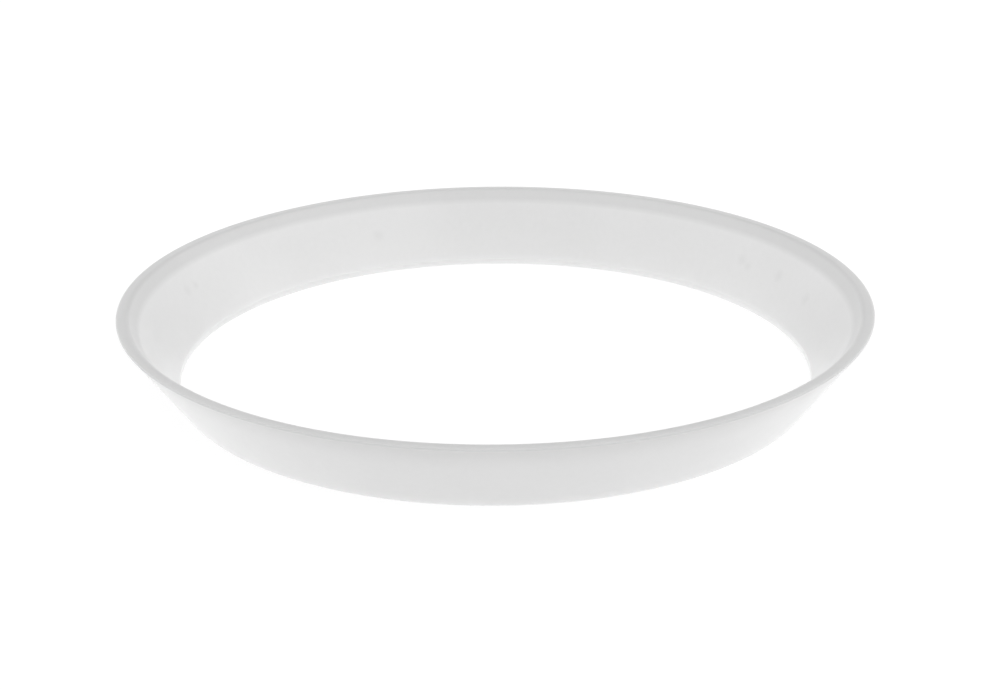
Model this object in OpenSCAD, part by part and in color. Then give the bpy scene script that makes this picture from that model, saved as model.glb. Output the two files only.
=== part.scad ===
// Tapered ring hoop: one endless, one-piece moulded plastic band. It is wide at the top and
// narrow at the bottom, open right through, and its wall thickens into a level rim.
// Millimetres, +Z up. The origin is on the ring's axis, in the plane that it stands on.

/* [Ring] */
// Outer diameter over the wide rim
rim_d = 300; // [292:1:310]
// Height from the resting edge to the top of the rim
ring_h = 31.4; // [29:0.2:35]
// Outer diameter at the narrow resting edge
foot_d = 256.6; // [250:0.2:260]

/* [Rim] */
// Width of the level face along the top of the rim, measured to its sharp inner corner
rim_w = 4.5; // [3.5:0.1:6]
// Radius of the rounding along the rim's outer edge
rim_round = 0.6; // [0.3:0.1:1.2]
// Radius of the rounding along the rim's inner edge
lip_round = 2.7; // [1:0.1:3]
// Radial width of the sloping lip between the rim's level face and the inner wall
lip_w = 3.7; // [3.3:0.1:4.1]
// Height of the sloping lip
lip_h = 4.5; // [4.1:0.1:5]
// Radius that blends the lip into the inner wall
lip_blend = 18; // [4:1:18]

/* [Foot] */
// Width of the level edge that the ring rests on
foot_w = 1.2; // [0.8:0.1:1.6]
// Height of the upright band along the bottom of the inner wall
band_h = 2.7; // [1.5:0.1:4]
// Radius that blends the upright band into the inner wall
band_blend = 1; // [0.2:0.1:2]
// Radius of the rounding along the resting edge's two corners
foot_round = 0.3; // [0.1:0.05:0.35]

/* [Hidden] */

// Straight pieces that draw each rounding of the cross-section
ROUND_STEPS = 6;

rim_r = rim_d / 2;
foot_r = foot_d / 2;
foot_in_r = foot_r - foot_w;
lip_top_r = rim_r - rim_w;
lip_foot_r = lip_top_r - lip_w;

// Lean of the outer wall from the vertical
lean = atan2(rim_r - foot_r, ring_h - rim_round);
// Sharp corner of the rim whose rounding just reaches the rim's outer diameter
rim_corner_r = rim_r + rim_round * (tan(45 + lean / 2) - 1);

// Corners of the cross-section as [radius, height, rounding], anticlockwise
corners = [
    [foot_in_r, 0, foot_round],
    [foot_r, 0, foot_round],
    [rim_corner_r, ring_h, rim_round],
    [lip_top_r, ring_h, lip_round],
    [lip_foot_r, ring_h - lip_h, lip_blend],
    [foot_in_r, band_h, band_blend]
];

function flat(p) = [p.x, p.y];
function unit(v) = v / norm(v);
function turned(v, a) = [v.x * cos(a) - v.y * sin(a), v.x * sin(a) + v.y * cos(a)];

// Points of the arc of radius r that rounds corner b, between its neighbours a and c,
// whichever way the outline turns there
function rounded(a, b, c, r) =
    let (
        to_a = unit(a - b),
        to_c = unit(c - b),
        half = acos(to_a * to_c) / 2,
        centre = b + unit(to_a + to_c) * r / sin(half),
        spoke = b + to_a * r / tan(half) - centre,
        sweep = sign(cross(to_c, to_a)) * (180 - 2 * half)
    )
    [for (i = [0 : ROUND_STEPS]) centre + turned(spoke, sweep * i / ROUND_STEPS)];

// The whole cross-section, with every corner rounded
function section() =
    let (n = len(corners))
    [
        for (i = [0 : n - 1])
            each rounded(
                flat(corners[(i + n - 1) % n]),
                flat(corners[i]),
                flat(corners[(i + 1) % n]),
                corners[i].z
            )
    ];

module ring() {
    color("whitesmoke")
        rotate_extrude($fn = 360)
            polygon(section());
}

ring();
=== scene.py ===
"""Looks of the tapered ring hoop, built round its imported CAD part. Metres, +Z up."""

import math

import bpy
from mathutils import Matrix, Vector


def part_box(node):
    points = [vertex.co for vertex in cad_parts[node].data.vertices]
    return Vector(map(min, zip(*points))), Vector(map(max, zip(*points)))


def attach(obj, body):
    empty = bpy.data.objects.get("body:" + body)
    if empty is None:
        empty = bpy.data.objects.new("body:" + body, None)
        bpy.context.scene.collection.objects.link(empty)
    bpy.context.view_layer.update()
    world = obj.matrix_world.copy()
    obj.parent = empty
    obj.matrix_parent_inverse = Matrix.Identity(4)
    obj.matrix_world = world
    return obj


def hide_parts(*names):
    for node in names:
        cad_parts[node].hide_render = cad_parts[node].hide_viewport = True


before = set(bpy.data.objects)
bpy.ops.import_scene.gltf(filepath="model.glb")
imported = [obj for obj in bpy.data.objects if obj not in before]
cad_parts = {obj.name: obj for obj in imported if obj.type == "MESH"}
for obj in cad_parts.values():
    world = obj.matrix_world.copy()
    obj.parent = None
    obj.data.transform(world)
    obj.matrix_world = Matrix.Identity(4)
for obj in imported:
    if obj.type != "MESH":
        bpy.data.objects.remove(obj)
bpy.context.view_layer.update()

NODE = "ring"
BODY = "root"
LOW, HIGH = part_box(NODE)
RIM_RADIUS = (HIGH.x - LOW.x) / 2
RIM_Z = HIGH.z
MM = 0.001

# The mesh
TURNS = 240               # steps round the ring, before subdivision
LONGEST_STEP = 1.6 * MM   # longest step along the cross-section
CORNER_GUARD = 0.25 * MM  # a loop this close to each rounding keeps the flats flat
SAME_POINT = 0.02 * MM    # corners closer than this are one

# The plastic. A tone multiplies its grey. A pair of lengths is where a change starts and ends.
PLASTIC_GREY = 0.58
PLASTIC_SCATTER = 5 * MM  # how far light travels inside it
PLASTIC_ROUGHNESS = 0.42
PLASTIC_IOR = 1.5
SKIN = 1.0                # how much of the smoother moulded skin lies over it
SKIN_ROUGHNESS = 0.3
BLOOM = 0.30              # a faint haze that whitens it where it is seen edge-on
BLOOM_ROUGHNESS = 0.3

# Painted shade: where it is thick less light comes through it, so it is painted greyer: the level rim,
# and more so the lip inside it
RIM_SHADE_TONE = 0.90
LIP_SHADE_TONE = 0.85
EDGE_TO_LIP = (1 * MM, 5.5 * MM)    # inwards from the outer edge, from the one tone to the other
LIP_SLANT = 0.6                     # steps down per step inwards of the line where the lip ends
LIP_END = (0.6 * MM, 2.9 * MM)      # down from that line, where its grey fades out
LIP_GLOW = 0.15                     # the share of the lip's light that has travelled inside it

# Painted shade: the outside is painted greyer than the inside, and more so just under the rim and on its
# corner
OUTER_LEAN = 0.691                  # steps outwards per step up, from the foot's outer edge to the rim's
OUTER_DEPTH = (0.3 * MM, 0.9 * MM)  # inwards from that line, where the outside stops
OUTER_TOP = (0.03 * MM, 0.3 * MM)   # down from the rim, where it starts
OUTER_SHADE_TONE = 0.975
UPPER_SHADE_TONE = 0.86
UPPER_FADE = (1.5 * MM, 12.5 * MM)  # down from the rim
UPPER_EASE = 2.0                    # the power that makes it fade faster at first
CORNER_SHADE_TONE = 0.84
CORNER_FADE = (0.3 * MM, 1.4 * MM)  # down from the rim

# Painted light: the thin foot is painted whiter, where light from the floor shines through it
FOOT_LIGHT_TONE = 1.04
FOOT_FADE = (0.5 * MM, 4.0 * MM)    # up from the floor

# The noises of its finish: scale per metre, detail, and in one of them roughness
CLOUDS = (22, 4)
FLECKS = (420, 3)
HANDLING = (90, 4)
SCRATCHES = (900, 5, 0.7)
WAVES = (55, 1)
GRAIN = (2600, 2)

# What they change. A range of noise is what counts as none and as all of it.
CLOUD_SHARE = 0.6                   # the rest is flecks
CLOUD_RANGE = (0.38, 0.62)
GREY_DRIFT = 0.012                  # either way, as a share of the grey
HANDLING_RANGE = (0.3, 0.7)
ROUGHNESS_DRIFT = 0.05              # either way
WAVE_HEIGHT = 0.10 * MM
GRAIN_HEIGHT = 0.012 * MM
SCRATCH_RANGE = (0.5, 0.62)
RIM_SCUFF = 1.2 * MM                # how far down from the rim it is scuffed
FOOT_SCUFF = 1.5 * MM               # and how far up from the floor
SCUFF_TONE = 1.02
SCUFF_ROUGHNESS = 0.12              # what a scuff adds

# Faint dark inclusions in the inner wall: degrees round from +X, share of the height, radius
SPECKS = (
    (14, 0.50, 2.0 * MM),
    (25, 0.55, 2.0 * MM),
    (34, 0.50, 1.5 * MM),
    (36, 0.55, 2.0 * MM),
    (114, 0.50, 2.0 * MM),
    (160, 0.60, 1.5 * MM),
    (163, 0.60, 2.0 * MM),
)
SPECK_TONE = 0.95
SPECK_FADE = (0.4, 1.7)   # out from its middle, in its own radii

# The studio's light: each side's strength low down and half way up, and the strength overhead
SIDE_LIGHT = (1.6, 1.4)
BACK_LIGHT = (0.5, 0.1)
FRONT_LEFT_LIGHT = (0.7, 1.0)
FRONT_RIGHT_LIGHT = (0.7, 1.6)
SURROUND = (  # evenly round, from +X
    SIDE_LIGHT, BACK_LIGHT, BACK_LIGHT,
    SIDE_LIGHT, FRONT_LEFT_LIGHT, FRONT_RIGHT_LIGHT,
)
OVERHEAD = 0.73
LOBE_SHARPNESS = 4.0      # the power that narrows each side's light
OVERHEAD_SPOT = 1e-6      # the least squared distance from the vertical, which keeps 0 from dividing

# The floor is a lit table
FLOOR_REACH = 30          # rim radii from its middle to each side
FLOOR_GREY = 0.22
FLOOR_GLOW = 0.80
FLOOR_ROUGHNESS = 0.9
FLOOR_SHINE = 0.1

# The camera, with distances in rim radii from the centre of the rim's top plane
CAMERA_PITCH = 21.51      # degrees that it looks down
CAMERA_ROLL = 0.38
CAMERA_DISTANCE = 4.857
CAMERA_SHIFT = (-0.0128, -0.1406)  # where the rim's centre is, right of and below the line of sight
CAMERA_LENS = 65.2        # millimetres, on a sensor 36 mm wide
SENSOR_WIDTH = 36
CAMERA_CLIP = (0.01, 100)          # metres


# ---------------------------------------------------------------- geometry

def cad_section(node):
    """The CAD node's cross-section as (radius, height) corners in order. It is convex."""
    corners = {(round(math.hypot(v.co.x, v.co.y), 6), round(v.co.z, 6)) for v in node.data.vertices}
    mid_r = sum(r for r, z in corners) / len(corners)
    mid_z = sum(z for r, z in corners) / len(corners)
    ordered = sorted(corners, key=lambda c: math.atan2(c[1] - mid_z, c[0] - mid_r))
    kept = []
    for corner in ordered:
        if not kept or math.dist(corner, kept[-1]) > SAME_POINT:
            kept.append(corner)
    return kept


def inner_radius(section, height):
    """The cross-section's smallest radius at a height."""
    crossings = []
    for i, (r0, z0) in enumerate(section):
        r1, z1 = section[(i + 1) % len(section)]
        if min(z0, z1) <= height < max(z0, z1):
            crossings.append(r0 + (r1 - r0) * (height - z0) / (z1 - z0))
    return min(crossings)


def refined(section):
    """The closed cross-section with its long flats divided, and a guard loop at both ends of each."""
    points = []
    for i, (r0, z0) in enumerate(section):
        r1, z1 = section[(i + 1) % len(section)]
        length = math.hypot(r1 - r0, z1 - z0)
        shares = [0.0]
        if length > 4 * CORNER_GUARD:
            inner = length - 2 * CORNER_GUARD
            steps = max(1, math.ceil(inner / LONGEST_STEP))
            shares += [(CORNER_GUARD + inner * k / steps) / length for k in range(steps + 1)]
        points += [(r0 + (r1 - r0) * s, z0 + (z1 - z0) * s) for s in shares]
    return points


def add_object(name, data):
    obj = bpy.data.objects.new(name, data)
    bpy.context.scene.collection.objects.link(obj)
    return obj


def lathe(name, points):
    """A closed ring mesh: the cross-section carried round the Z axis."""
    count = len(points)
    verts = []
    for turn in range(TURNS):
        angle = 2 * math.pi * turn / TURNS
        verts += [(r * math.cos(angle), r * math.sin(angle), z) for r, z in points]
    faces = []
    for turn in range(TURNS):
        here = turn * count
        there = (turn + 1) % TURNS * count
        for k in range(count):
            after = (k + 1) % count
            faces.append((here + k, there + k, there + after, here + after))
    mesh = bpy.data.meshes.new(name)
    mesh.from_pydata(verts, [], faces)
    mesh.shade_smooth()
    return add_object(name, mesh)


# ---------------------------------------------------------------- shader nodes

def grey(value):
    return (value, value, value, 1.0)


class Nodes:
    """Short ways to add and link shader nodes."""

    def __init__(self, tree):
        self.tree = tree

    def add(self, kind, **settings):
        node = self.tree.nodes.new(kind)
        for key, value in settings.items():
            setattr(node, key, value)
        return node

    def feed(self, socket, value):
        if isinstance(value, bpy.types.NodeSocket):
            self.tree.links.new(value, socket)
        else:
            socket.default_value = value

    def math(self, operation, a, b=0.0):
        node = self.add("ShaderNodeMath", operation=operation)
        self.feed(node.inputs[0], a)
        self.feed(node.inputs[1], b)
        return node.outputs[0]

    def times(self, a, b):
        return self.math("MULTIPLY", a, b)

    def minus(self, a, b):
        return self.math("SUBTRACT", a, b)

    def total(self, *values):
        result = values[0]
        for value in values[1:]:
            result = self.math("ADD", result, value)
        return result

    def ramp(self, value, low, high, to_low=0.0, to_high=1.0):
        """Goes evenly from to_low to to_high as the value goes from low to high, and no further."""
        node = self.add("ShaderNodeMapRange", clamp=True)
        self.feed(node.inputs["Value"], value)
        node.inputs["From Min"].default_value = low
        node.inputs["From Max"].default_value = high
        node.inputs["To Min"].default_value = to_low
        node.inputs["To Max"].default_value = to_high
        return node.outputs["Result"]

    def fade(self, value, start, end):
        """1 up to the start and 0 from the end on."""
        return self.ramp(value, start, end, 1.0, 0.0)

    def mix(self, share, first, second, blend="MIX"):
        node = self.add("ShaderNodeMix", data_type="RGBA", blend_type=blend)
        factor, colour_a, colour_b = (node.inputs[i] for i in (0, 6, 7))
        self.feed(factor, share)
        self.feed(colour_a, first)
        self.feed(colour_b, second)
        return node.outputs[2]

    def tint(self, share, colour, tone):
        return self.mix(share, colour, tone, "MULTIPLY")

    def vector(self, operation, first, second=(0.0, 0.0, 0.0)):
        node = self.add("ShaderNodeVectorMath", operation=operation)
        self.feed(node.inputs[0], first)
        self.feed(node.inputs[1], second)
        return node.outputs["Value"]

    def noise(self, place, per_metre, detail, roughness=0.5):
        node = self.add("ShaderNodeTexNoise")
        self.feed(node.inputs["Vector"], place)
        node.inputs["Scale"].default_value = per_metre
        node.inputs["Detail"].default_value = detail
        node.inputs["Roughness"].default_value = roughness
        return node.outputs["Fac"]

    def bump(self, height, distance, normal=None):
        node = self.add("ShaderNodeBump")
        node.inputs["Strength"].default_value = 1.0
        node.inputs["Distance"].default_value = distance
        self.feed(node.inputs["Height"], height)
        if normal is not None:
            self.feed(node.inputs["Normal"], normal)
        return node.outputs["Normal"]

    def coordinates(self, kind):
        """The place as one vector, and its X, Y and Z."""
        place = self.add("ShaderNodeTexCoord").outputs[kind]
        split = self.add("ShaderNodeSeparateXYZ")
        self.feed(split.inputs["Vector"], place)
        return place, *(split.outputs[axis] for axis in "XYZ")


def new_material(name):
    material = bpy.data.materials.new(name)
    material.use_nodes = True
    nodes = Nodes(material.node_tree)
    return material, nodes, material.node_tree.nodes["Principled BSDF"].inputs


# ---------------------------------------------------------------- materials

def clouded_grey(nodes, place):
    """The plastic's own colour, which drifts a little in clouds and flecks."""
    clouds = nodes.times(nodes.noise(place, *CLOUDS), CLOUD_SHARE)
    flecks = nodes.times(nodes.noise(place, *FLECKS), 1 - CLOUD_SHARE)
    drift = nodes.ramp(nodes.total(clouds, flecks), *CLOUD_RANGE)
    return nodes.mix(drift, grey(PLASTIC_GREY * (1 - GREY_DRIFT)), grey(PLASTIC_GREY * (1 + GREY_DRIFT)))


def specks(nodes, place, section):
    """1 inside an inclusion and 0 elsewhere, with soft edges."""
    spots = []
    for angle, share, radius in SPECKS:
        turn = math.radians(angle)
        across = inner_radius(section, share * RIM_Z)
        middle = (across * math.cos(turn), across * math.sin(turn), share * RIM_Z)
        distance = nodes.vector("DISTANCE", place, middle)
        spots.append(nodes.fade(distance, *(radius * end for end in SPECK_FADE)))
    return nodes.total(*spots)


def painted_thickness_shade(nodes, colour, height, depth, inwards, lip, inset):
    """Painted shade, greyer at the rim and the lip and on the outside, and painted light, whiter at the
    foot.
    """
    outside = nodes.times(nodes.fade(inset, *OUTER_DEPTH), nodes.ramp(depth, *OUTER_TOP))
    inside_lip = nodes.times(lip, nodes.minus(1.0, outside))
    upper = nodes.math("POWER", nodes.fade(depth, *UPPER_FADE), UPPER_EASE)
    corner = nodes.fade(depth, *CORNER_FADE)
    colour = nodes.tint(inside_lip, colour, nodes.ramp(inwards, *EDGE_TO_LIP, RIM_SHADE_TONE, LIP_SHADE_TONE))
    colour = nodes.tint(outside, colour, grey(OUTER_SHADE_TONE))
    colour = nodes.tint(nodes.times(outside, upper), colour, grey(UPPER_SHADE_TONE))
    colour = nodes.tint(nodes.times(outside, corner), colour, grey(CORNER_SHADE_TONE))
    return nodes.tint(nodes.fade(height, *FOOT_FADE), colour, grey(FOOT_LIGHT_TONE))


def scuffs(nodes, place, height):
    """1 on the fine scratches along the rim and the foot, and 0 elsewhere."""
    near_rim = nodes.ramp(height, RIM_Z - RIM_SCUFF, RIM_Z)
    near_foot = nodes.fade(height, 0.0, FOOT_SCUFF)
    edges = nodes.math("MAXIMUM", near_rim, near_foot)
    return nodes.times(edges, nodes.ramp(nodes.noise(place, *SCRATCHES), *SCRATCH_RANGE))


def ring_plastic(section):
    """Satin, slightly translucent white plastic, faintly cloudy and grained, with scuffed edges, and
    with painted shade and painted light by its thickness.
    """
    material, nodes, plastic = new_material("ring_plastic")
    place, x, y, height = nodes.coordinates("Object")
    flat_place = nodes.add("ShaderNodeCombineXYZ")
    nodes.feed(flat_place.inputs["X"], x)
    nodes.feed(flat_place.inputs["Y"], y)

    depth = nodes.minus(RIM_Z, height)
    inwards = nodes.minus(RIM_RADIUS, nodes.vector("LENGTH", flat_place.outputs["Vector"]))
    inset = nodes.minus(inwards, nodes.times(depth, OUTER_LEAN))
    lip = nodes.fade(nodes.minus(depth, nodes.times(inset, LIP_SLANT)), *LIP_END)
    scuff = scuffs(nodes, place, height)

    colour = nodes.tint(specks(nodes, place, section), clouded_grey(nodes, place), grey(SPECK_TONE))
    # painted shade at the thick rim, the lip and the outside, and painted light at the foot
    colour = painted_thickness_shade(nodes, colour, height, depth, inwards, lip, inset)
    nodes.feed(plastic["Base Color"], nodes.tint(scuff, colour, grey(SCUFF_TONE)))

    handled = nodes.ramp(
        nodes.noise(place, *HANDLING), *HANDLING_RANGE,
        PLASTIC_ROUGHNESS - ROUGHNESS_DRIFT, PLASTIC_ROUGHNESS + ROUGHNESS_DRIFT)
    nodes.feed(plastic["Roughness"], nodes.total(handled, nodes.times(scuff, SCUFF_ROUGHNESS)))

    wave = nodes.bump(nodes.noise(place, *WAVES), WAVE_HEIGHT)
    nodes.feed(plastic["Normal"], nodes.bump(nodes.noise(place, *GRAIN), GRAIN_HEIGHT, wave))

    nodes.feed(plastic["Subsurface Weight"], nodes.ramp(lip, 0.0, 1.0, 1.0, LIP_GLOW))
    plastic["Subsurface Radius"].default_value = (1.0, 1.0, 1.0)
    plastic["Subsurface Scale"].default_value = PLASTIC_SCATTER
    plastic["IOR"].default_value = PLASTIC_IOR
    plastic["Coat Weight"].default_value = SKIN
    plastic["Coat Roughness"].default_value = SKIN_ROUGHNESS
    plastic["Sheen Weight"].default_value = BLOOM
    plastic["Sheen Roughness"].default_value = BLOOM_ROUGHNESS
    return material


def lit_floor():
    material, _, surface = new_material("pale_floor")
    surface["Base Color"].default_value = grey(FLOOR_GREY)
    surface["Roughness"].default_value = FLOOR_ROUGHNESS
    surface["Specular IOR Level"].default_value = FLOOR_SHINE
    surface["Emission Color"].default_value = grey(1.0)
    surface["Emission Strength"].default_value = FLOOR_GLOW
    return material


# ---------------------------------------------------------------- floor, light, camera

def make_floor():
    half = FLOOR_REACH * RIM_RADIUS
    corners = [(-half, -half, 0), (half, -half, 0), (half, half, 0), (-half, half, 0)]
    mesh = bpy.data.meshes.new("floor")
    mesh.from_pydata(corners, [], [(0, 1, 2, 3)])
    mesh.materials.append(lit_floor())
    add_object("floor", mesh)


def make_surround():
    """A white studio. Each of its sides is a soft lobe that fades round and upwards into the next."""
    world = bpy.data.worlds.new("studio")
    bpy.context.scene.world = world
    world.use_nodes = True
    nodes = Nodes(world.node_tree)
    _, x, y, z = nodes.coordinates("Generated")
    up = nodes.math("MAXIMUM", z, 0.0)
    level = nodes.minus(1.0, up)

    # These three weights always add up to 1
    low = nodes.times(level, level)
    halfway = nodes.times(nodes.times(up, level), 2.0)
    overhead = nodes.times(up, up)

    squares = nodes.total(nodes.times(x, x), nodes.times(y, y))
    flat = nodes.math("SQRT", nodes.math("MAXIMUM", squares, OVERHEAD_SPOT))
    lights = [nodes.times(overhead, OVERHEAD)]
    for side, (strength_low, strength_halfway) in enumerate(SURROUND):
        turn = 2 * math.pi * side / len(SURROUND)
        along = nodes.total(nodes.times(x, math.cos(turn)), nodes.times(y, math.sin(turn)))
        cosine = nodes.math("DIVIDE", along, flat)
        facing = nodes.times(nodes.total(cosine, 1.0), 0.5)
        lobe = nodes.math("POWER", nodes.math("MAXIMUM", facing, 0.0), LOBE_SHARPNESS)
        lights.append(nodes.times(lobe, nodes.times(low, strength_low)))
        lights.append(nodes.times(lobe, nodes.times(halfway, strength_halfway)))
    background = world.node_tree.nodes["Background"].inputs
    background["Color"].default_value = grey(1.0)
    nodes.feed(background["Strength"], nodes.total(*lights))


def make_camera():
    pitch, roll = math.radians(CAMERA_PITCH), math.radians(CAMERA_ROLL)
    forward = Vector((0, math.cos(pitch), -math.sin(pitch)))
    level = Vector((1, 0, 0))
    down = forward.cross(level)
    right = math.cos(roll) * level + math.sin(roll) * down
    below = math.cos(roll) * down - math.sin(roll) * level
    centre = Vector((0, 0, RIM_Z))
    across, along = CAMERA_SHIFT
    place = centre - RIM_RADIUS * (across * right + along * below + CAMERA_DISTANCE * forward)
    data = bpy.data.cameras.new("camera")
    data.sensor_width = SENSOR_WIDTH
    data.lens = CAMERA_LENS
    data.clip_start, data.clip_end = CAMERA_CLIP
    camera = add_object("camera", data)
    axes = Matrix((right, -below, -forward)).transposed()
    camera.matrix_world = Matrix.Translation(place) @ axes.to_4x4()
    bpy.context.scene.camera = camera


# ---------------------------------------------------------------- the scene

section = cad_section(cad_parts[NODE])
hoop = lathe("hoop_ring", refined(section))
hoop.data.materials.append(ring_plastic(section))
smooth = hoop.modifiers.new("smooth_roundings", "SUBSURF")
smooth.levels = 1
smooth.render_levels = 1
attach(hoop, BODY)
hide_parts(NODE)

make_floor()
make_surround()
make_camera()
bpy.context.scene.view_settings.view_transform = "Standard"
